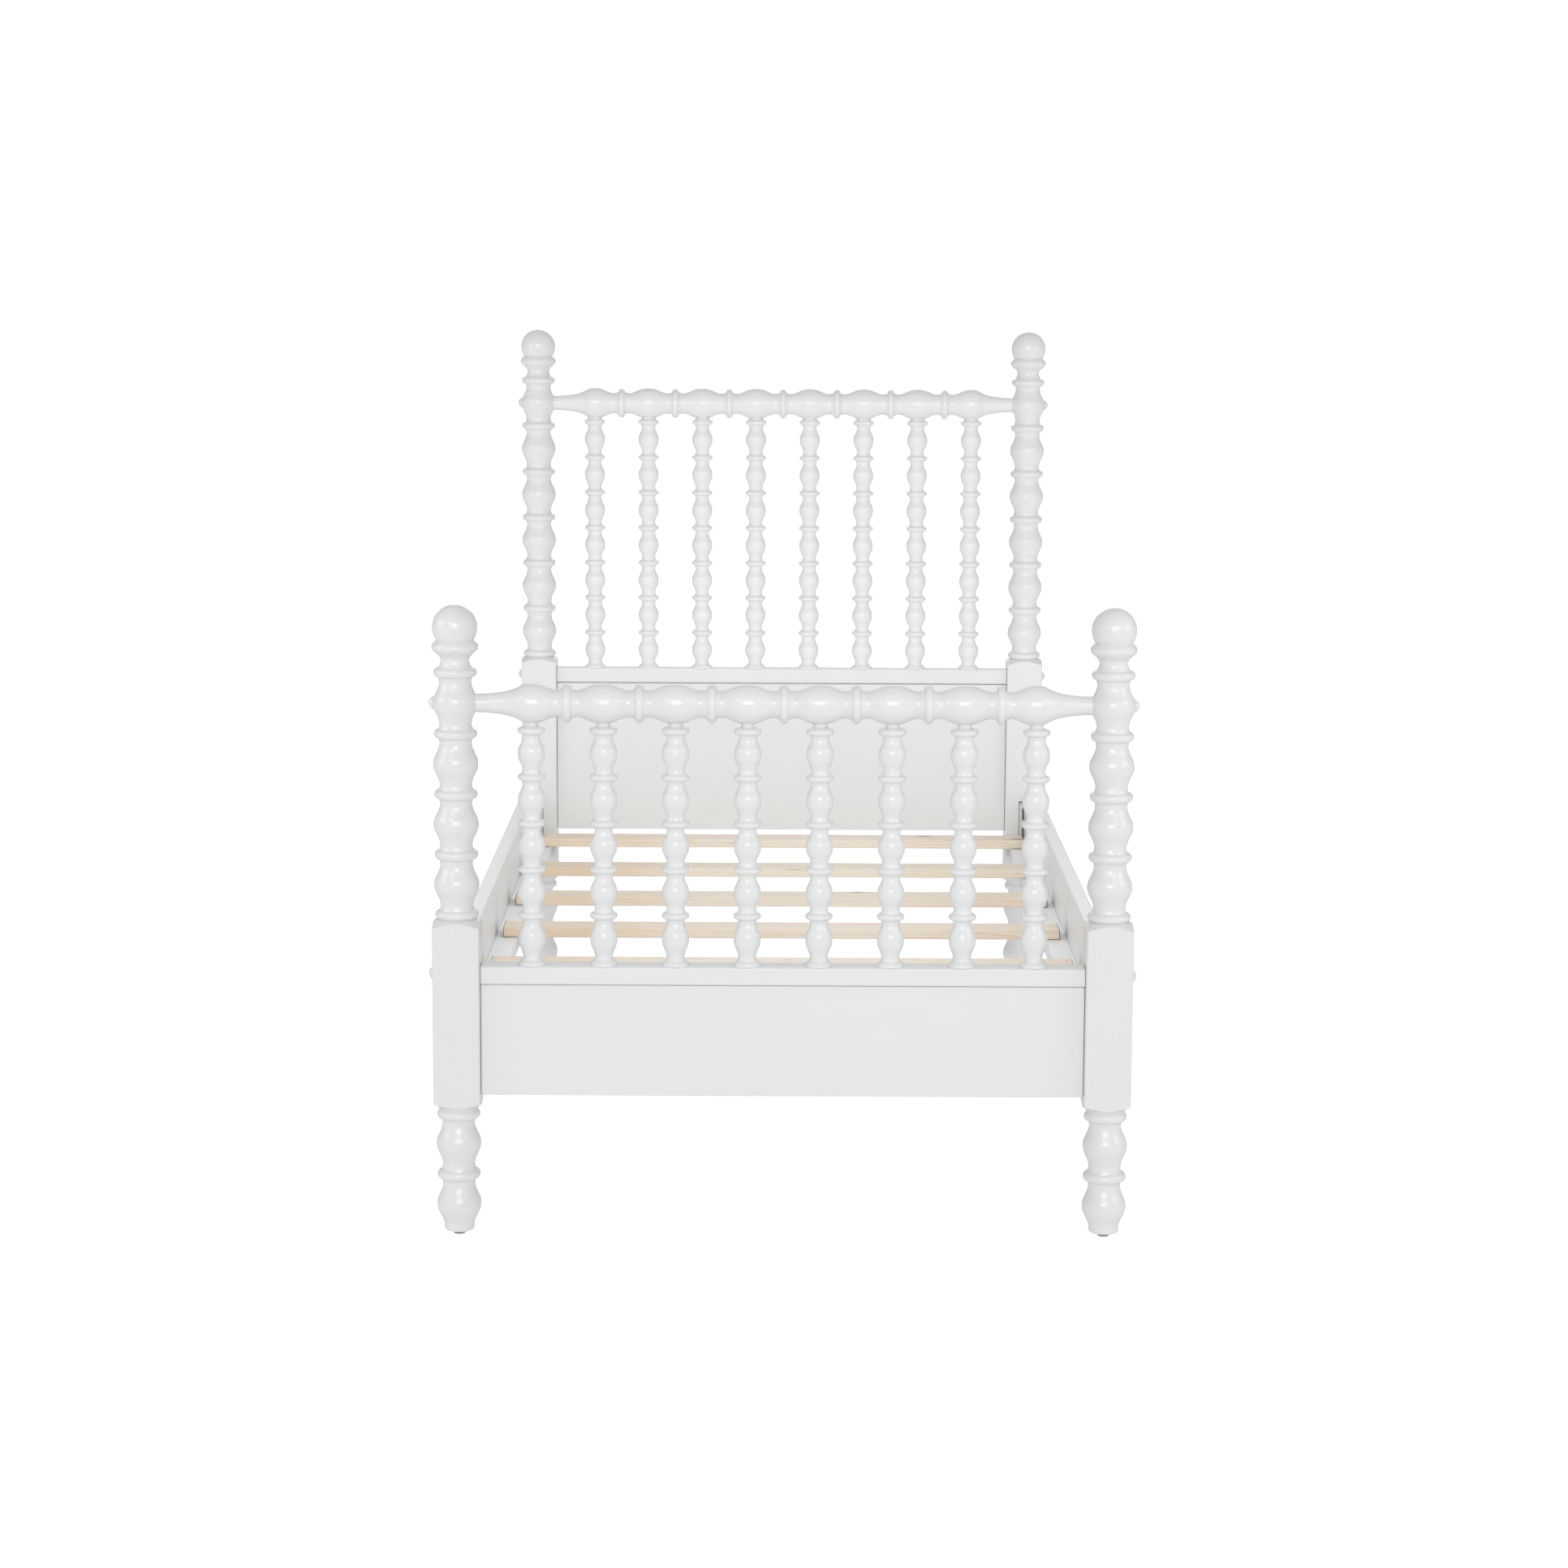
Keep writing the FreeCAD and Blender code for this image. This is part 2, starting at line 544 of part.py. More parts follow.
# ---------------------------------------------------------------------------
# side rails, cleats and slats
# ---------------------------------------------------------------------------
CLEAT_SCREW_Y = (-800.0, -500.0, -200.0, 100.0, 400.0, 700.0, 862.0)


def make_side_rail(sx):
    b = soft_box(sx * RAIL_IN, sx * RAIL_OUT, -RAIL_END, RAIL_END, RAIL_Z[0], RAIL_Z[1], 3.5, V(0, 1, 0), 0.8)
    cuts = []
    for sy in (-1, 1):
        cuts += bracket_screw_set(sx, sy, screw_hole)
    for y in CLEAT_SCREW_Y:
        cuts.append(screw_hole((sx * CLEAT_IN, y, 274.0), (sx, 0, 0), 54.0, 2.2, 4.2, 2.8, 0.4))
    return b.cut(cuts[0].multiFuse(cuts[1:]))


def slat_screws(i, sx):
    """Place of the screw at one end of slat i."""
    back = SLAT_BACKS[i]
    off = (23.0, 22.0, 24.5, 21.0, 23.5, 23.0, 22.5)[i]
    if sx > 0:
        off = (57.0, 24.0, 22.0, 23.5, 21.5, 24.0, 23.0)[i]
    return (sx * (488.0 if sx > 0 else 487.4), back - off, SLAT_Z[1])


def make_cleat(sx):
    b = soft_box(sx * CLEAT_IN, sx * (RAIL_IN - 0.05), -CLEAT_END, CLEAT_END, CLEAT_Z[0], CLEAT_Z[1], 1.5,
                 V(0, 1, 0), 0.6)
    cuts = []
    for y in CLEAT_SCREW_Y:
        cuts.append(screw_hole((sx * CLEAT_IN, y, 274.0), (sx, 0, 0), 54.0, 2.2, 4.2, 2.8, 0.4))
    for i in range(len(SLAT_BACKS)):
        cuts.append(screw_hole(slat_screws(i, sx), (0, 0, -1), 36.0))
    if sx > 0:
        cuts.append(cyl_z(2.0, 279.0, 289.0, 489.0, 805.0))      # spare pilot hole
    return b.cut(cuts[0].multiFuse(cuts[1:]))


def make_slat(i):
    back = SLAT_BACKS[i]
    b = soft_box(-SLAT_X, SLAT_X, back - SLAT_W, back, SLAT_Z[0] + 0.05, SLAT_Z[1], 2.6, V(1, 0, 0), 0.8)
    h = [screw_hole(slat_screws(i, sx), (0, 0, -1), 36.0) for sx in (-1, 1)]
    return b.cut(h[0].fuse(h[1]))


# ---------------------------------------------------------------------------
# small pieces
# ---------------------------------------------------------------------------


def make_plug(sx, sy, z, base, out):
    """Rounded button with a stem that closes a bolt's counterbore."""
    h = out - base
    dome = [["arc", (0, h), (PLUG_R * 0.66, h * 0.72), (PLUG_R, h * 0.12)],
            [(PLUG_R, h * 0.12), (PLUG_R - 0.3, 0.0)], [(PLUG_R - 0.3, 0.0), (COUNTERBORE_R - 0.1, 0.0)],
            [(COUNTERBORE_R - 0.1, 0.0), (COUNTERBORE_R - 0.3, -9.0)]]
    p = turned(dome)
    p.rotate(V(0, 0, 0), V(0, 1, 0), 90 * sx)
    p.translate(V(sx * base, sy * POST_Y, z))
    return p


def make_bolt(sx, sy, z, tip):
    """Cap screw lying in the post, its head at the bottom of the counterbore."""
    head = cyl_x(6.5, sx * COUNTERBORE_END, sx * (COUNTERBORE_END + 4.0), sy * POST_Y, z)
    shank = cyl_x(3.9, sx * (tip), sx * COUNTERBORE_END, sy * POST_Y, z)
    b = head.fuse(shank).removeSplitter()
    hexa = Part.makePolygon([V(0, 2.9 * math.cos(math.radians(60 * i)), 2.9 * math.sin(math.radians(60 * i)))
                             for i in range(7)])
    hx = Part.Face(hexa).extrude(V(3.0 * sx, 0, 0))
    hx.translate(V(sx * (COUNTERBORE_END + 1.4), sy * POST_Y, z))
    return b.cut(hx)


def make_insert(sx, sy, z, x0, x1):
    """Threaded sleeve in the end of a rail, which the bolt screws into."""
    return cyl_x(INSERT_R, sx * x0, sx * x1, sy * POST_Y, z).cut(
        cyl_x(4.05, sx * (x0 - 1), sx * (x1 + 1), sy * POST_Y, z))


def make_glide(sx, sy):
    g = turned([[(0, GLIDE_H), (GLIDE_R, GLIDE_H)], [(GLIDE_R, GLIDE_H), (GLIDE_R, 1.6)],
                ["arc", (GLIDE_R, 1.6), (GLIDE_R - 0.47, 0.47), (GLIDE_R - 1.6, 0.0)]])
    g.translate(V(sx * POST_X, sy * POST_Y, 0))
    return g.cut(cyl_z(1.3, -1, GLIDE_H + 1, sx * POST_X, sy * POST_Y)).cut(cyl_z(4.1, -1, 2.0, sx * POST_X, sy * POST_Y))


def make_nail(sx, sy):
    n = turned([[(0, 23.6), (1.2, 20.5)], [(1.2, 20.5), (1.2, 1.9)], [(1.2, 1.9), (4.0, 1.9)],
                [(4.0, 1.9), (4.0, 1.0)]])
    n.translate(V(sx * POST_X, sy * POST_Y, 0))
    return n


# ---------------------------------------------------------------------------
# write every node
# ---------------------------------------------------------------------------
SIDES = ((-1, "left"), (1, "right"))
ENDS = ((-1, "foot"), (1, "head"))
CORNERS = [(sx, sy) for sy in (-1, 1) for sx in (-1, 1)]

for sy, end in ENDS:
    for sx, side in SIDES:
        save("%s_post_%s" % (end, side), make_post(sx, sy))
    save("%s_top_rail" % end, make_top_rail(sy))
    save("%s_cap_rail" % end, make_cap(sy))
    save("%s_panel" % end, make_panel(sy))
    for i, x in enumerate(SPINDLE_X):
        sp = SPINDLES[sy].copy()
        sp.translate(V(x, sy * POST_Y, 0))
        save("%s_spindle_%d" % (end, i + 1), sp)

for sx, side in SIDES:
    save("side_rail_%s" % side, make_side_rail(sx))
    save("slat_cleat_%s" % side, make_cleat(sx))
for i in range(len(SLAT_BACKS)):
    save("slat_%d" % (i + 1), make_slat(i))

plugs, bolts, inserts = [], [], []
for sx, sy in CORNERS:
    rail_z = FOOT_RAIL_Z if sy < 0 else HEAD_RAIL_Z
    cap = FOOT_CAP if sy < 0 else HEAD_CAP
    cap_z = (cap[0] + cap[1]) / 2.0
    plugs.append(make_plug(sx, sy, rail_z, BULB_SEAT, BULB_PLUG_OUT))
    plugs.append(make_plug(sx, sy, cap_z, POST_X + BLOCK, PLUG_OUT))
    bolts.append(make_bolt(sx, sy, rail_z, 452.0))
    bolts.append(make_bolt(sx, sy, cap_z, 448.0))
    inserts.append(make_insert(sx, sy, rail_z, 450.0, 474.0))
    inserts.append(make_insert(sx, sy, cap_z, 446.0, 462.0))
save("button_plugs", plugs)
save("rail_bolts", bolts)
save("threaded_inserts", inserts)

save("panel_dowels", [cyl_x(DOWEL_R, sx * 445.0, sx * 482.0, sy * POST_Y, z)
                      for sx, sy in CORNERS for z in PANEL_DOWELS[sy]])
save("rail_brackets", [rail_bracket(sx, sy) for sx, sy in CORNERS])
save("post_plates", [post_plate(sx, sy) for sx, sy in CORNERS])
save("bracket_screws", [s for sx, sy in CORNERS for s in bracket_screw_set(sx, sy, screw)])
save("post_plate_screws", [screw((sx * 497.0, sy * PLATE_Y[0], z), (0, sy, 0), 18.0, 1.8, 3.4, 2.0, 0.3)
                           for sx, sy in CORNERS for z in (290.0, 368.0)])
save("cleat_screws", [screw((sx * CLEAT_IN, y, 274.0), (sx, 0, 0), 54.0, 2.2, 4.2, 2.8, 0.4)
                      for sx in (-1, 1) for y in CLEAT_SCREW_Y])
save("slat_screws", [screw(slat_screws(i, sx), (0, 0, -1), 36.0) for i in range(len(SLAT_BACKS)) for sx in (-1, 1)])
for sx, sy in CORNERS:
    save("glide_%s_%s" % ("foot" if sy < 0 else "head", "left" if sx < 0 else "right"), make_glide(sx, sy))
save("glide_nails", [make_nail(sx, sy) for sx, sy in CORNERS])
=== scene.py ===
import math

import bpy
from mathutils import Matrix, Vector


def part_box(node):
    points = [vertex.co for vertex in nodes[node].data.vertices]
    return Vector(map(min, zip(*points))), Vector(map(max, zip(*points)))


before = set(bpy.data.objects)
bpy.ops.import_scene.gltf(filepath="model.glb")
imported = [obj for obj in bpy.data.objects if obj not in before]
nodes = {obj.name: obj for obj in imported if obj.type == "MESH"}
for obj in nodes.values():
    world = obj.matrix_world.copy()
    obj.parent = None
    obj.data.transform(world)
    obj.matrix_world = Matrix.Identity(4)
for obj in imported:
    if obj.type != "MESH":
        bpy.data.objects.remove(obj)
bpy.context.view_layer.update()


# ------------------------------------------------------------------ node helpers
class Tree:
    """A material's node tree, with short calls for the nodes used below."""

    def __init__(self, name):
        self.mat = bpy.data.materials.new(name)
        self.mat.use_nodes = True
        self.nt = self.mat.node_tree
        self.nt.nodes.clear()
        self.out = self.nt.nodes.new("ShaderNodeOutputMaterial")
        self.bsdf = self.nt.nodes.new("ShaderNodeBsdfPrincipled")
        self.nt.links.new(self.bsdf.outputs["BSDF"], self.out.inputs["Surface"])
        tc = self.nt.nodes.new("ShaderNodeTexCoord")
        self.P = tc.outputs["Object"]

    def put(self, sock, v):
        if hasattr(v, "links"):
            self.nt.links.new(v, sock)
        elif hasattr(sock, "default_value"):
            if isinstance(v, (tuple, list)) and len(v) == 3 and sock.type == "RGBA":
                v = (*v, 1.0)
            sock.default_value = v

    def math(self, op, a, b=None, c=None, clamp=False):
        n = self.nt.nodes.new("ShaderNodeMath")
        n.operation = op
        n.use_clamp = clamp
        self.put(n.inputs[0], a)
        if b is not None:
            self.put(n.inputs[1], b)
        if c is not None:
            self.put(n.inputs[2], c)
        return n.outputs[0]

    def sep(self, v):
        n = self.nt.nodes.new("ShaderNodeSeparateXYZ")
        self.put(n.inputs[0], v)
        return n.outputs[0], n.outputs[1], n.outputs[2]

    def comb(self, x, y, z):
        n = self.nt.nodes.new("ShaderNodeCombineXYZ")
        for s, v in zip(n.inputs, (x, y, z)):
            self.put(s, v)
        return n.outputs[0]

    def move(self, v, loc=(0, 0, 0), scale=(1, 1, 1)):
        n = self.nt.nodes.new("ShaderNodeMapping")
        self.put(n.inputs["Vector"], v)
        n.inputs["Location"].default_value = loc
        n.inputs["Scale"].default_value = scale
        return n.outputs[0]

    def noise(self, v, scale=1.0, detail=2.0, rough=0.5, distortion=0.0):
        n = self.nt.nodes.new("ShaderNodeTexNoise")
        self.put(n.inputs["Vector"], v)
        n.inputs["Scale"].default_value = scale
        n.inputs["Detail"].default_value = detail
        n.inputs["Roughness"].default_value = rough
        n.inputs["Distortion"].default_value = distortion
        return n.outputs["Fac"]

    def voronoi(self, v, scale=1.0, randomness=1.0):
        n = self.nt.nodes.new("ShaderNodeTexVoronoi")
        self.put(n.inputs["Vector"], v)
        n.inputs["Scale"].default_value = scale
        n.inputs["Randomness"].default_value = randomness
        return n.outputs["Distance"], n.outputs["Color"]

    def span(self, v, a, b, c=0.0, d=1.0, smooth=False):
        n = self.nt.nodes.new("ShaderNodeMapRange")
        n.interpolation_type = "SMOOTHSTEP" if smooth else "LINEAR"
        self.put(n.inputs["Value"], v)
        for k, x in zip(("From Min", "From Max", "To Min", "To Max"), (a, b, c, d)):
            n.inputs[k].default_value = x
        return n.outputs["Result"]

    def mix(self, f, a, b, blend="MIX"):
        n = self.nt.nodes.new("ShaderNodeMix")
        n.data_type = "RGBA"
        n.blend_type = blend
        self.put(n.inputs[0], f)
        self.put(n.inputs[6], a)
        self.put(n.inputs[7], b)
        return n.outputs[2]

    def ramp(self, f, stops):
        n = self.nt.nodes.new("ShaderNodeValToRGB")
        self.put(n.inputs[0], f)
        e = n.color_ramp.elements
        while len(e) < len(stops):
            e.new(0.5)
        for s, (p, c) in zip(e, stops):
            s.position = p
            s.color = (*c, 1.0)
        return n.outputs[0]

    def ao(self, distance, samples=8):
        n = self.nt.nodes.new("ShaderNodeAmbientOcclusion")
        n.samples = samples
        n.inputs["Distance"].default_value = distance
        return n.outputs["AO"]

    def bump(self, height, strength, distance, normal=None):
        n = self.nt.nodes.new("ShaderNodeBump")
        n.inputs["Strength"].default_value = strength
        n.inputs["Distance"].default_value = distance
        self.put(n.inputs["Height"], height)
        if normal is not None:
            self.put(n.inputs["Normal"], normal)
        return n.outputs[0]

    def set(self, **kw):
        names = {"color": "Base Color", "rough": "Roughness", "metal": "Metallic", "ior": "IOR", "normal": "Normal",
                 "coat": "Coat Weight", "coat_rough": "Coat Roughness", "specular": "Specular IOR Level",
                 "aniso": "Anisotropic", "sss": "Subsurface Weight"}
        for k, v in kw.items():
            self.put(self.bsdf.inputs[names[k]], v)
        return self.mat


def stretched(t, axis, along, across, shift=0.0):
    """Object coordinates squeezed along one axis, for anything that follows the grain of a piece."""
    s = [across, across, across]
    s["XYZ".index(axis)] = along
    return t.move(t.P, (shift, shift * 0.7, shift * 1.3), tuple(s))


# ------------------------------------------------------------------ finishes
def paint(name, axis, shift, creased=True):
    """Sprayed satin white over close-grained wood: faint mottling and grain, and painted shade darkening the creases.
    """
    t = Tree(name)
    broad = t.noise(t.move(t.P, (shift, shift, shift)), 3.1, 2.0, 0.5)
    mottle = t.noise(t.move(t.P, (shift, 0, 0)), 34.0, 3.0, 0.6)
    grain = t.noise(stretched(t, axis, 9.0, 210.0, shift), 1.0, 4.0, 0.62, 0.3)
    col = t.mix(t.span(broad, 0.33, 0.67, smooth=True), (0.802, 0.805, 0.804), (0.809, 0.809, 0.804))
    col = t.mix(1.0, col, t.ramp(mottle, [(0.25, (0.995, 0.995, 0.995)), (0.75, (1.0, 1.0, 1.0))]), "MULTIPLY")
    col = t.mix(1.0, col, t.ramp(grain, [(0.36, (0.993, 0.992, 0.991)), (0.55, (1.0, 1.0, 1.0))]), "MULTIPLY")
    if creased:
        # painted shade: ambient occlusion darkens the paint colour in creases and joints
        painted_crease_shade = t.ao(0.006, 10)
        col = t.mix(1.0, col, t.ramp(painted_crease_shade, [(0.10, (0.80, 0.81, 0.82)), (0.45, (0.95, 0.953, 0.956)), (0.75, (1.0, 1.0, 1.0))]), "MULTIPLY")
    rough = t.math("ADD", t.span(mottle, 0.25, 0.75, 0.245, 0.265), t.span(grain, 0.3, 0.7, 0.02, 0.0))
    if creased:
        peel = t.noise(t.P, 420.0, 2.0, 0.5)
        n1 = t.bump(grain, 0.05, 0.0004)
        n2 = t.bump(peel, 0.04, 0.0003, n1)
        return t.set(color=col, rough=rough, normal=n2, ior=1.49, coat=0.20, coat_rough=0.12)
    return t.set(color=col, rough=t.math("ADD", rough, 0.12), ior=1.46)


def pine(name, number, y_mid, tone):
    """Planed pine slat: growth lines along X, dark late wood, fine fibres, a few knots, resin streaks and dark ends
    whose near-black rim is painted shadow; also painted sheen across the middle, and painted shade on the lower arris
    and in the creases.
    """
    t = Tree(name)
    x, y, z = t.sep(t.P)
    k = number * 3.17
    warp = t.noise(t.move(t.P, (k, k * 0.4, 0), (1.5, 10.0, 10.0)), 1.0, 2.0, 0.45)
    warp2 = t.noise(t.move(t.P, (-k, 0, k), (7.0, 60.0, 60.0)), 1.0, 2.0, 0.5)
    # knots: few, small, and the growth lines bend round them
    kd, kc = t.voronoi(t.move(t.P, (k * 1.9, k, -k), (5.5, 15.0, 30.0)), 1.0)
    kr, kg, kb = t.sep(kc)
    rare = t.math("GREATER_THAN", kr, 0.62)
    near = t.math("MULTIPLY", t.span(kd, 0.0, 0.42, 1.0, 0.0, True), rare)
    pith_y = y_mid + (-0.031, 0.012, 0.040, -0.018, 0.055, -0.044, 0.020)[number % 7]
    pith_z = 0.306 - (0.085, 0.052, 0.120, 0.070, 0.048, 0.100, 0.060)[number % 7]
    dy = t.math("SUBTRACT", y, pith_y)
    dz = t.math("SUBTRACT", z, pith_z)
    d = t.math("SQRT", t.math("ADD", t.math("MULTIPLY", dy, dy), t.math("MULTIPLY", dz, dz)))
    d = t.math("ADD", d, t.math("MULTIPLY", t.math("SUBTRACT", warp, 0.5), 0.036))
    d = t.math("ADD", d, t.math("MULTIPLY", t.math("SUBTRACT", warp2, 0.5), 0.0030))
    d = t.math("ADD", d, t.math("MULTIPLY", near, 0.0055))
    ring = t.math("FRACT", t.math("DIVIDE", d, 0.0046))
    early, late = tone
    mid = tuple(e * 0.55 + f * 0.45 for e, f in zip(early, late))
    lines = t.ramp(ring, [(0.0, early), (0.46, tuple(e * 0.97 for e in early)), (0.72, mid), (0.90, late), (0.965, late), (1.0, early)])
    broad = t.noise(t.move(t.P, (k, 0, 0), (2.4, 20.0, 20.0)), 1.0, 2.0, 0.5)
    plain = tuple(e * 0.80 + f * 0.20 for e, f in zip(early, late))
    col = t.mix(t.span(broad, 0.35, 0.70, 0.25, 0.80, True), lines, plain)
    fibre = t.noise(t.move(t.P, (k, k, k), (11.0, 620.0, 620.0)), 1.0, 3.0, 0.6)
    col = t.mix(1.0, col, t.ramp(fibre, [(0.28, (0.90, 0.865, 0.82)), (0.55, (1.0, 1.0, 1.0)), (0.8, (1.03, 1.02, 1.0))]), "MULTIPLY")
    blush = t.noise(t.move(t.P, (-k, k, 0), (1.3, 5.0, 8.0)), 1.0, 2.0, 0.5)
    col = t.mix(t.span(blush, 0.45, 0.75, 0.0, 0.30, True), col, (0.69, 0.425, 0.24))
    # painted sheen: paler in the middle of the bed and warmer to the left, standing in for the light's reflection along
    # the slats
    ax = t.math("ABSOLUTE", x)
    col = t.mix(t.span(ax, 0.14, 0.36, 0.42, 0.0, True), col, (0.880, 0.800, 0.710))
    col = t.mix(t.span(x, -0.36, -0.16, 0.30, 0.0, True), col, (0.800, 0.590, 0.405))
    # resin streaks: long, thin and dark
    streak = t.noise(t.move(t.P, (k * 2.3, -k, k * 0.6), (6.5, 190.0, 230.0)), 1.0, 1.0, 0.4)
    sm = t.span(streak, 0.735, 0.80, 0.0, 0.72, True)
    col = t.mix(sm, col, (0.30, 0.155, 0.085))
    kn = t.math("MULTIPLY", t.span(kd, 0.045, 0.105, 1.0, 0.0, True), rare)
    halo = t.math("MULTIPLY", t.span(kd, 0.06, 0.26, 0.45, 0.0, True), rare)
    col = t.mix(halo, col, (0.55, 0.31, 0.16))
    col = t.mix(kn, col, (0.16, 0.075, 0.04))
    # end grain, darker as cut pine is, and a near-black rim at each cut end that is painted shadow, standing in for the
    # gap against the side rail
    end_shadow_noise = t.noise(t.move(t.P, (k, 0, k), (0.0, 40.0, 120.0)), 1.0, 2.0, 0.5)
    end_shadow_reach = t.math("ADD", ax, t.math("MULTIPLY", t.math("SUBTRACT", end_shadow_noise, 0.5), 0.0022))
    col = t.mix(t.span(end_shadow_reach, 0.4958, 0.4974, 0.0, 0.90, True), col, (0.060, 0.036, 0.026))
    # painted shade: the lower arris, which faces down away from the light, darker
    col = t.mix(t.span(z, 0.2880, 0.2896, 0.62, 0.0, True), col, (0.36, 0.165, 0.095))
    # painted shade: ambient occlusion darkens the slat colour where the cleats, rails and screws crowd it
    painted_crease_shade = t.ao(0.016, 6)
    col = t.mix(1.0, col, t.ramp(painted_crease_shade, [(0.15, (0.45, 0.40, 0.36)), (0.6, (1.0, 1.0, 1.0))]), "MULTIPLY")
    rough = t.span(ring, 0.0, 1.0, 0.40, 0.32)
    n1 = t.bump(fibre, 0.25, 0.0007)
    n2 = t.bump(ring, 0.10, 0.0005, n1)
    return t.set(color=col, rough=rough, normal=n2, ior=1.48, coat=0.18, coat_rough=0.22)


def beech(name):
    t = Tree(name)
    fleck = t.noise(t.move(t.P, scale=(60.0, 900.0, 900.0)), 1.0, 3.0, 0.6)
    col = t.ramp(fleck, [(0.3, (0.58, 0.43, 0.29)), (0.6, (0.68, 0.53, 0.38))])
    return t.set(color=col, rough=t.span(fleck, 0.3, 0.7, 0.5, 0.62), normal=t.bump(fleck, 0.2, 0.0004))


def plastic(name, a, b, low, high, grain, strength):
    t = Tree(name)
    tone = t.noise(t.P, 90.0, 2.0, 0.5)
    skin = t.noise(t.P, grain, 2.0, 0.5)
    col = t.mix(t.span(tone, 0.3, 0.7), a, b)
    # painted shade: ambient occlusion darkens the colour in recesses and where parts meet
    col = t.mix(1.0, col, t.ramp(t.ao(0.005, 6), [(0.15, (0.5, 0.5, 0.5)), (0.6, (1.0, 1.0, 1.0))]), "MULTIPLY")
    return t.set(color=col, rough=t.span(skin, 0.3, 0.7, low, high), normal=t.bump(skin, strength, 0.0003), ior=1.47)


def metal(name, a, b, low, high, axis="X"):
    t = Tree(name)
    brushed = t.noise(stretched(t, axis, 60.0, 2600.0), 1.0, 3.0, 0.6)
    spangle = t.noise(t.P, 260.0, 2.0, 0.5)
    col = t.mix(t.span(spangle, 0.35, 0.65), a, b)
    # painted shade: ambient occlusion darkens the colour in recesses and where parts meet
    col = t.mix(1.0, col, t.ramp(t.ao(0.004, 6), [(0.15, (0.45, 0.45, 0.45)), (0.6, (1.0, 1.0, 1.0))]), "MULTIPLY")
    return t.set(color=col, metal=1.0, rough=t.span(brushed, 0.3, 0.7, low, high), normal=t.bump(brushed, 0.15, 0.0002))


def coated(name, a, b):
    """Baked coat on pressed steel."""
    t = Tree(name)
    peel = t.noise(t.P, 700.0, 2.0, 0.5)
    tone = t.noise(t.P, 40.0, 2.0, 0.5)
    col = t.mix(t.span(tone, 0.3, 0.7), a, b)
    return t.set(color=col, rough=t.span(peel, 0.3, 0.7, 0.34, 0.46), normal=t.bump(peel, 0.2, 0.0003), ior=1.5)


paint_z = paint("paint_upright", "Z", 0.0)
paint_x = paint("paint_across", "X", 4.3)
paint_y = paint("paint_lengthwise", "Y", 9.1, False)
paint_flat = paint("paint_board", "X", 6.7, False)
tones = [
    ((0.870, 0.770, 0.640), (0.740, 0.585, 0.430)),
    ((0.865, 0.765, 0.630), (0.735, 0.570, 0.415)),
    ((0.870, 0.765, 0.635), (0.725, 0.555, 0.400)),
    ((0.865, 0.750, 0.610), (0.725, 0.555, 0.400)),
    ((0.860, 0.740, 0.600), (0.720, 0.545, 0.390)),
    ((0.865, 0.750, 0.610), (0.725, 0.555, 0.400)),
    ((0.865, 0.750, 0.610), (0.725, 0.555, 0.400)),
]
slat_mats = {}
for i in range(1, 8):
    lo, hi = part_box("slat_%d" % i)
    slat_mats["slat_%d" % i] = pine("pine_%d" % i, i, 0.5 * (lo[1] + hi[1]), tones[i - 1])
beech_m = beech("beech_dowel")
plug_m = plastic("plug_white", (0.80, 0.80, 0.79), (0.83, 0.83, 0.82), 0.26, 0.36, 900.0, 0.10)
glide_m = plastic("glide_nylon", (0.29, 0.29, 0.295), (0.34, 0.34, 0.345), 0.42, 0.55, 1400.0, 0.2)
zinc_m = metal("zinc", (0.60, 0.60, 0.58), (0.68, 0.68, 0.67), 0.28, 0.45)
brass_m = metal("brass", (0.66, 0.48, 0.20), (0.76, 0.57, 0.27), 0.24, 0.38)
bracket_m = coated("bracket_coat", (0.66, 0.675, 0.67), (0.69, 0.70, 0.69))
# painted shade: the post plates, seen only through the bracket slots, get a near-black coat so the slots read as the
# shadowed gap between rail end and post
plate_gap_shade_m = coated("plate_coat_gap_shade", (0.115, 0.135, 0.128), (0.150, 0.168, 0.160))

for name, obj in nodes.items():
    if name in slat_mats:
        m = slat_mats[name]
    elif name == "panel_dowels":
        m = beech_m
    elif name == "button_plugs":
        m = plug_m
    elif name.startswith("glide_") and name != "glide_nails":
        m = glide_m
    elif name == "rail_brackets":
        m = bracket_m
    elif name == "post_plates":
        m = plate_gap_shade_m
    elif name == "threaded_inserts":
        m = brass_m
    elif name in ("rail_bolts", "bracket_screws", "post_plate_screws", "cleat_screws", "slat_screws", "glide_nails"):
        m = zinc_m
    elif name.endswith("_top_rail"):
        m = paint_x
    elif name.endswith("_cap_rail") or name.endswith("_panel"):
        m = paint_flat
    elif name.startswith("side_rail") or name.startswith("slat_cleat"):
        m = paint_y
    else:
        m = paint_z
    for i in range(len(obj.material_slots)):
        obj.material_slots[i].material = m
    if not obj.material_slots:
        obj.data.materials.append(m)


# ------------------------------------------------------------------ floor
def plane(name, size, z):
    me = bpy.data.meshes.new(name)
    h = size / 2
    me.from_pydata([(-h, -h, z), (h, -h, z), (h, h, z), (-h, h, z)], [], [(0, 1, 2, 3)])
    ob = bpy.data.objects.new(name, me)
    bpy.context.scene.collection.objects.link(ob)
    return ob


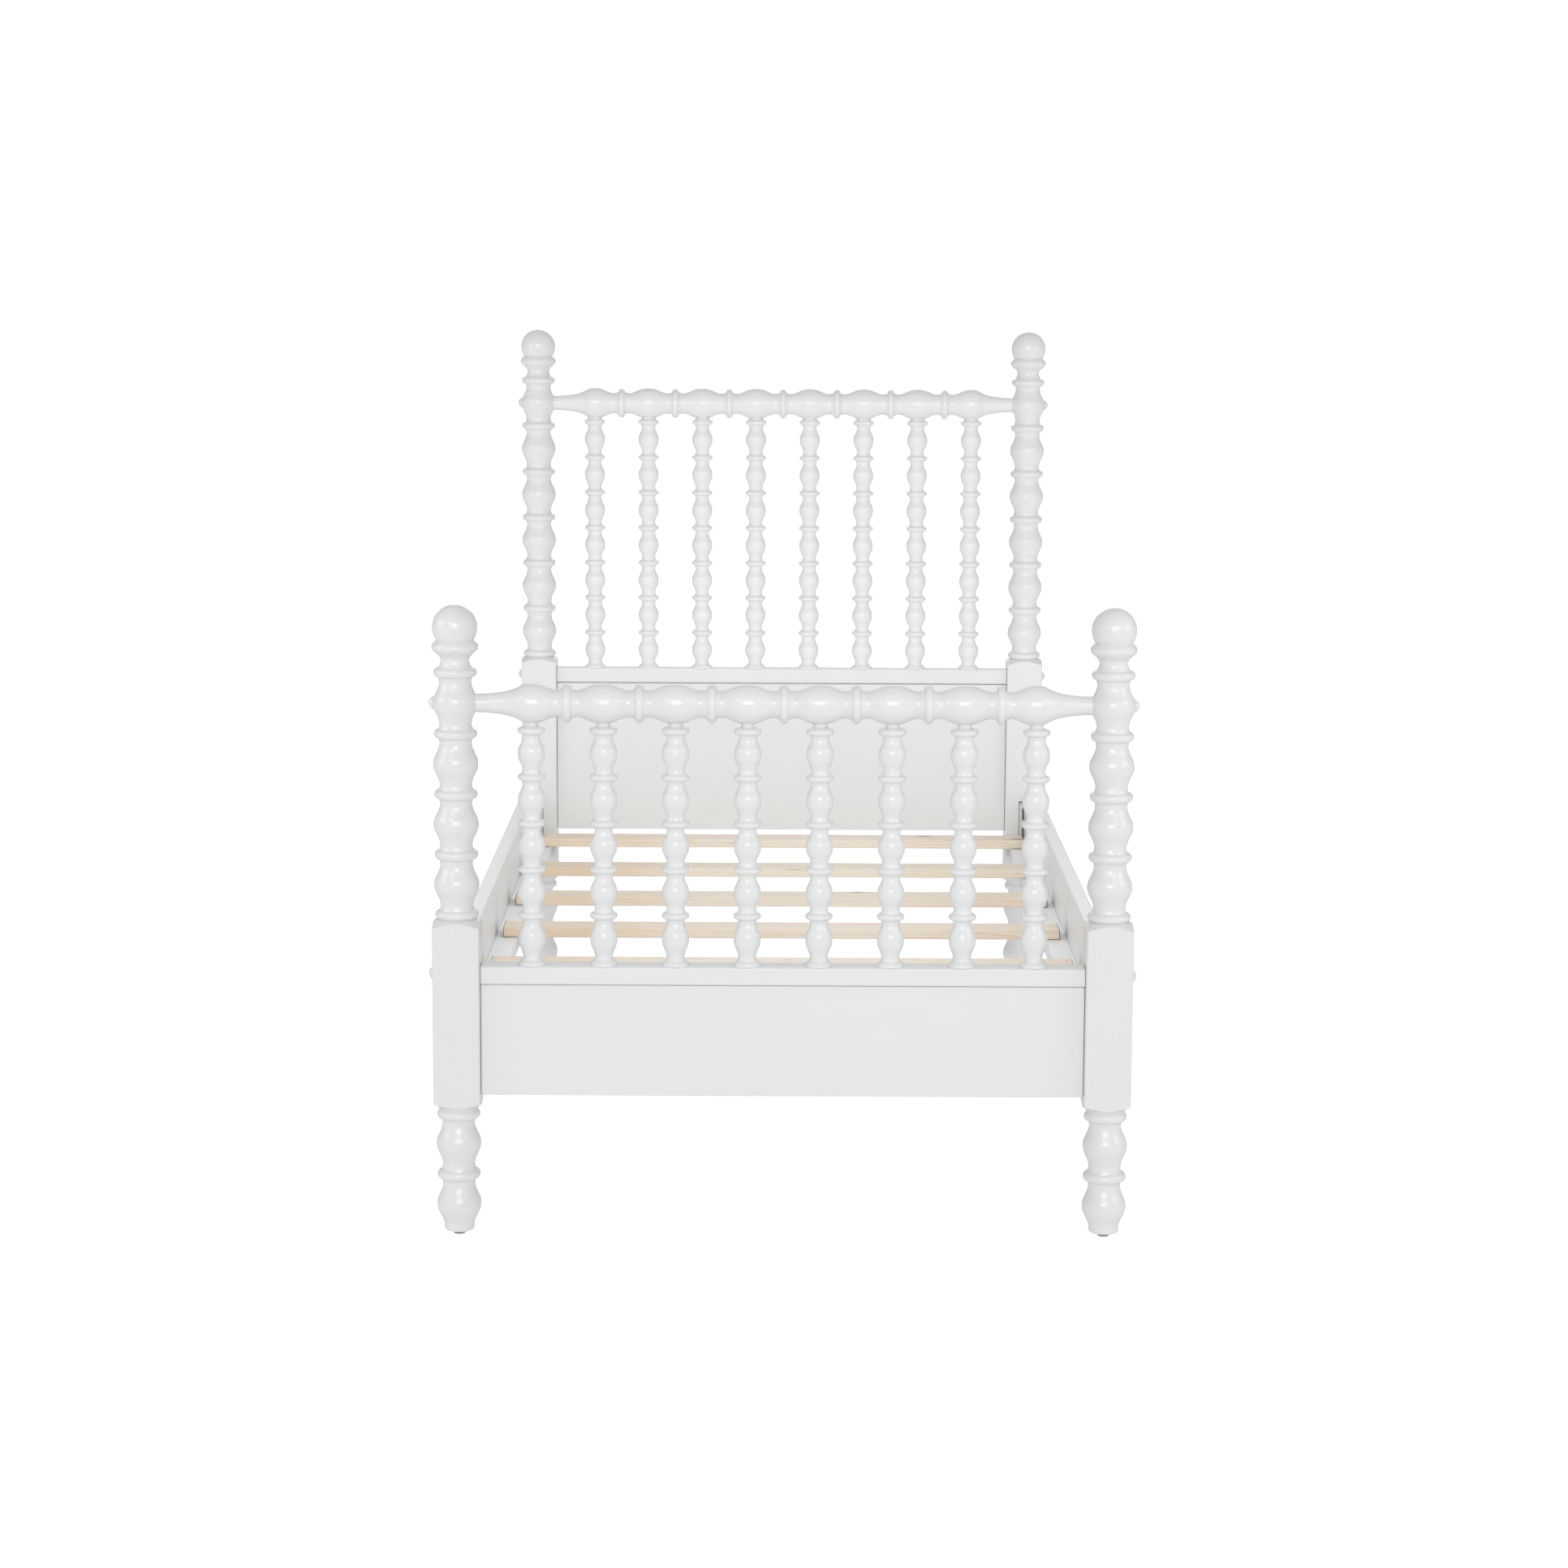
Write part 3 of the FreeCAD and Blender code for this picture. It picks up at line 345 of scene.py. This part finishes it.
floor = plane("studio_floor", 40.0, -0.0004)
t = Tree("floor_paper")
fibre = t.noise(t.P, 14.0, 3.0, 0.5)
t.set(color=t.mix(t.span(fibre, 0.3, 0.7), (0.93, 0.93, 0.93), (0.95, 0.95, 0.95)), rough=0.9, specular=0.2)
t.bsdf.inputs["Emission Color"].default_value = (1.0, 1.0, 1.0, 1.0)
fx, fy, fz = t.sep(t.P)
reach = t.math("SQRT", t.math("ADD", t.math("MULTIPLY", fx, fx), t.math("MULTIPLY", fy, fy)))
t.put(t.bsdf.inputs["Emission Strength"], t.span(reach, 1.6, 4.5, 0.55, 0.80, True))
floor.data.materials.append(t.mat)
# the paper under the bed is pure white to the eye, while its bounce comes from the room's lower half below
floor.visible_diffuse = False
floor.visible_glossy = False


# ------------------------------------------------------------------ light
world = bpy.data.worlds.new("studio")
bpy.context.scene.world = world
world.use_nodes = True
wn = world.node_tree
wn.nodes.clear()
w_out = wn.nodes.new("ShaderNodeOutputWorld")
w_mix = wn.nodes.new("ShaderNodeMixShader")
w_path = wn.nodes.new("ShaderNodeLightPath")
w_seen = wn.nodes.new("ShaderNodeBackground")
w_seen.inputs["Color"].default_value = (1.0, 1.0, 1.0, 1.0)
w_seen.inputs["Strength"].default_value = 1.15
w_lit = wn.nodes.new("ShaderNodeBackground")
w_lit.inputs["Color"].default_value = (0.975, 0.990, 1.0, 1.0)
# the room: a bright floor below, softer overhead and a little dimmer behind the head end
w_tc = wn.nodes.new("ShaderNodeTexCoord")
w_sep = wn.nodes.new("ShaderNodeSeparateXYZ")
w_top = wn.nodes.new("ShaderNodeMapRange")
w_low = wn.nodes.new("ShaderNodeMapRange")
w_back = wn.nodes.new("ShaderNodeMapRange")
w_mul = wn.nodes.new("ShaderNodeMath")
w_mul.operation = "MULTIPLY"
w_add = wn.nodes.new("ShaderNodeMath")
w_add.operation = "ADD"
ROOM_FRONT, ROOM_TOP, ROOM_BACK, ROOM_FLOOR = 0.60, 0.60, 0.85, 0.83
for n, vals in ((w_top, (0.15, 1.0, ROOM_FRONT, ROOM_TOP)), (w_back, (-0.2, 1.0, 1.0, ROOM_BACK)),
                (w_low, (-0.10, 0.02, ROOM_FLOOR - ROOM_FRONT, 0.0))):
    for k, v in zip(("From Min", "From Max", "To Min", "To Max"), vals):
        n.inputs[k].default_value = v
wn.links.new(w_tc.outputs["Generated"], w_sep.inputs[0])
wn.links.new(w_sep.outputs[2], w_top.inputs["Value"])
wn.links.new(w_sep.outputs[2], w_low.inputs["Value"])
wn.links.new(w_sep.outputs[1], w_back.inputs["Value"])
wn.links.new(w_top.outputs["Result"], w_mul.inputs[0])
wn.links.new(w_back.outputs["Result"], w_mul.inputs[1])
wn.links.new(w_mul.outputs[0], w_add.inputs[0])
wn.links.new(w_low.outputs["Result"], w_add.inputs[1])
wn.links.new(w_add.outputs[0], w_lit.inputs["Strength"])
w_lit.inputs["Strength"].default_value = 0.38
wn.links.new(w_path.outputs["Is Camera Ray"], w_mix.inputs[0])
wn.links.new(w_lit.outputs[0], w_mix.inputs[1])
wn.links.new(w_seen.outputs[0], w_mix.inputs[2])
wn.links.new(w_mix.outputs[0], w_out.inputs["Surface"])


def softbox(name, at, look, size, power, color=(1.0, 1.0, 1.0)):
    li = bpy.data.lights.new(name, "AREA")
    li.shape = "RECTANGLE"
    li.size, li.size_y = size
    li.energy = power
    li.color = color
    ob = bpy.data.objects.new(name, li)
    d = Vector(look) - Vector(at)
    ob.rotation_euler = d.to_track_quat("-Z", "Y").to_euler()
    ob.location = at
    ob.visible_camera = False
    bpy.context.scene.collection.objects.link(ob)
    return ob


for spark in (softbox("front_left", (-1.15, -2.60, 1.75), (-0.1, -0.8, 0.7), (0.17, 0.17), 2.1, (1.0, 0.992, 0.975)),
              softbox("front_right", (1.25, -2.70, 1.75), (0.1, -0.8, 0.7), (0.17, 0.17), 2.3, (1.0, 0.992, 0.975))):
    spark.visible_diffuse = False
sides = (softbox("side_left", (-3.2, -1.6, 1.8), (0, 0.2, 0.7), (1.6, 1.2), 14.0, (1.0, 0.99, 0.97)),
         softbox("side_right", (3.2, -2.0, 1.8), (0, 0.2, 0.7), (1.6, 1.2), 16.0, (0.99, 0.995, 1.0)))
for lamp, far in zip(sides, ("_right", "_left")):
    near = bpy.data.collections.new("lit_by_" + lamp.name)
    for name, obj in nodes.items():
        if not name.endswith(far):
            near.objects.link(obj)
    lamp.light_linking.receiver_collection = near
softbox("front_fill", (0.0, -7.2, 2.6), (0, 0, 0.6), (3.6, 2.2), 136.0)
softbox("rear", (0.0, 6.2, 3.0), (0, 0.4, 0.6), (3.2, 2.2), 24.0)
fill = softbox("bed_fill", (0.0, -0.6, 2.2), (0, 0.35, 0.3), (1.4, 1.0), 9.0, (0.96, 0.985, 1.0))
inner = bpy.data.collections.new("lit_by_bed_fill")
for name, obj in nodes.items():
    if name.startswith(("slat", "side_rail", "cleat", "bracket", "rail_bracket", "head_panel", "head_cap")):
        inner.objects.link(obj)
fill.light_linking.receiver_collection = inner
fill.visible_glossy = False
fill = softbox("head_fill", (0.0, 0.1, 0.62), (0, 1.0, 0.62), (1.3, 0.25), 1.7, (0.95, 0.98, 1.0))
outer = bpy.data.collections.new("lit_by_head_fill")
for name, obj in nodes.items():
    if name.startswith("head_") and name not in inner.objects:
        outer.objects.link(obj)
fill.light_linking.receiver_collection = outer
fill.visible_glossy = False
for side, sx in (("left", 1), ("right", -1)):
    fill = softbox("rail_fill_" + side, (1.2 * sx, -0.3, 1.5), (-0.5 * sx, 0.0, 0.3), (0.8, 0.8), 5.5, (0.96, 0.985, 1.0))
    rail = bpy.data.collections.new("lit_by_rail_fill_" + side)
    for name in ("side_rail_" + side, "slat_cleat_" + side):
        rail.objects.link(nodes[name])
    fill.light_linking.receiver_collection = rail
    fill.visible_glossy = False


# ------------------------------------------------------------------ camera
cam = bpy.data.cameras.new("camera")
cam.sensor_fit = "HORIZONTAL"
cam.sensor_width = 36.0
cam.lens = 83.784
cam.clip_end = 100.0
cam.dof.use_dof = False
pitch, yaw, roll = 0.152209, 0.002812, 0.0053
cp, sp, cy, sy = math.cos(pitch), math.sin(pitch), math.cos(yaw), math.sin(yaw)
fwd = Vector((sy * cp, cy * cp, -sp))
right = Vector((cy, -sy, 0.0))
up = right.cross(fwd)
right2 = math.cos(roll) * right + math.sin(roll) * up
up2 = -math.sin(roll) * right + math.cos(roll) * up
cam_ob = bpy.data.objects.new("camera", cam)
m3 = Matrix((right2, up2, -fwd)).transposed()
cam_ob.matrix_world = Matrix.Translation((-0.015185, -6.496781, 1.551524)) @ m3.to_4x4()
bpy.context.scene.collection.objects.link(cam_ob)
bpy.context.scene.camera = cam_ob

bpy.context.scene.view_settings.view_transform = "Standard"
bpy.context.scene.view_settings.look = "None"
bpy.context.scene.view_settings.exposure = 0.0
bpy.context.scene.view_settings.gamma = 1.0


def plain(box):
    return [[float(c) for c in corner] for corner in box]
